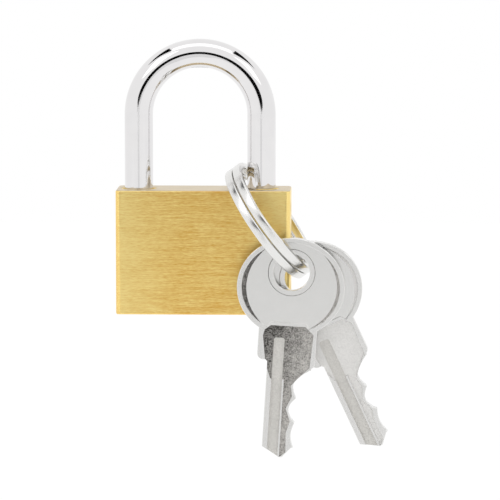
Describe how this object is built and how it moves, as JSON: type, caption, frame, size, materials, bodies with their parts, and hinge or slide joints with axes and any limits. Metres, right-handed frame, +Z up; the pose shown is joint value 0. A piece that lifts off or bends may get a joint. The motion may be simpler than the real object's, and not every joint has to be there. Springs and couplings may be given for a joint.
{
  "type": "padlock",
  "caption": "Brass pin-tumbler padlock with a rectangular block body, a round chrome shackle, and flat keys on a split ring hung round the shackle's leg",
  "frame": {"origin": "the underside of the shackle's crown, at mid thickness, where a hasp's staple carries the lock", "axes": "+X across the lock towards the ring's side, -Y out of the front face, +Z up along the shackle's legs"},
  "size_m": [0.0468, 0.0225, 0.0712],
  "materials": {
    "brushed_brass": "fine horizontal brushed grain on solid brass",
    "turned_brass": "turned, satin",
    "chrome": "bright mirror plating on hardened steel",
    "spring_steel": "plain drawn wire and turned steel",
    "nickel": "bright nickel plating on flat wire",
    "nickel_key": "nickel plating, bright raised rim and grainy stamped faces"
  },
  "bodies": {
    "body": {"lock_body": "brushed_brass", "shackle_spring": "spring_steel", "shackle_retaining_pin": "turned_brass", "plug_retaining_pin": "turned_brass", "latch_spring": "spring_steel", "latch_bore_cap": "turned_brass", "pin_spring_1": "spring_steel", "pin_spring_2": "spring_steel", "pin_spring_3": "spring_steel", "chamber_cap_1": "turned_brass", "chamber_cap_2": "turned_brass", "chamber_cap_3": "turned_brass"},
    "shackle": {"shackle": "chrome"},
    "plug": {"plug": "turned_brass"},
    "latch": {"latch": "spring_steel"},
    "ring": {"split_ring": "nickel"},
    "key_front": {"key_front": "nickel_key"},
    "key_back": {"key_back": "nickel_key"},
    "key_pin_1": {"key_pin_1": "turned_brass"},
    "driver_pin_1": {"driver_pin_1": "spring_steel"},
    "key_pin_2": {"key_pin_2": "turned_brass"},
    "driver_pin_2": {"driver_pin_2": "spring_steel"},
    "key_pin_3": {"key_pin_3": "turned_brass"},
    "driver_pin_3": {"driver_pin_3": "spring_steel"}
  },
  "joints": [
    {"name": "shackle_lift", "type": "slide", "parent": "body", "child": "shackle", "axis": [0, 0, 1], "range_m": [0, 0.0062], "deforming": ["shackle_spring"]},
    {"name": "plug_turn", "type": "hinge", "parent": "body", "child": "plug", "pos_m": [-0.00135, 0, -0.0423], "axis": [0, 0, 1], "range_deg": [-90, 0]},
    {"name": "latch_slide", "type": "slide", "parent": "body", "child": "latch", "axis": [1, 0, 0], "range_m": [0, 0.0014], "deforming": ["latch_spring"]},
    {"name": "ring_swing", "type": "hinge", "parent": "body", "child": "ring", "pos_m": [0.00634, -0.00194, -0.01816], "axis": [0, -1, 0], "range_deg": [0, 45]},
    {"name": "key_front_swing", "type": "hinge", "parent": "ring", "child": "key_front", "pos_m": [0.016, -0.00795, -0.03445], "axis": [0, -1, 0], "range_deg": [-45, 45]},
    {"name": "key_back_swing", "type": "hinge", "parent": "ring", "child": "key_back", "pos_m": [0.01785, -0.0059, -0.0356], "axis": [0, -1, 0], "range_deg": [-60, 30]},
    {"name": "key_pin_1_slide", "type": "slide", "parent": "plug", "child": "key_pin_1", "axis": [0, -1, 0], "range_m": [0, 0.0012]},
    {"name": "key_pin_2_slide", "type": "slide", "parent": "plug", "child": "key_pin_2", "axis": [0, -1, 0], "range_m": [0, 0.0012]},
    {"name": "key_pin_3_slide", "type": "slide", "parent": "plug", "child": "key_pin_3", "axis": [0, -1, 0], "range_m": [0, 0.0012]},
    {"name": "driver_pin_1_slide", "type": "slide", "parent": "body", "child": "driver_pin_1", "axis": [1, 0, 0], "range_m": [0, 0.0012], "deforming": ["pin_spring_1"]},
    {"name": "driver_pin_2_slide", "type": "slide", "parent": "body", "child": "driver_pin_2", "axis": [1, 0, 0], "range_m": [0, 0.0012], "deforming": ["pin_spring_2"]},
    {"name": "driver_pin_3_slide", "type": "slide", "parent": "body", "child": "driver_pin_3", "axis": [1, 0, 0], "range_m": [0, 0.0012], "deforming": ["pin_spring_3"]}
  ],
  "couplings": [
    {"joint": "latch_slide", "follows": "plug_turn", "m_per_rad": -0.0008849}
  ]
}
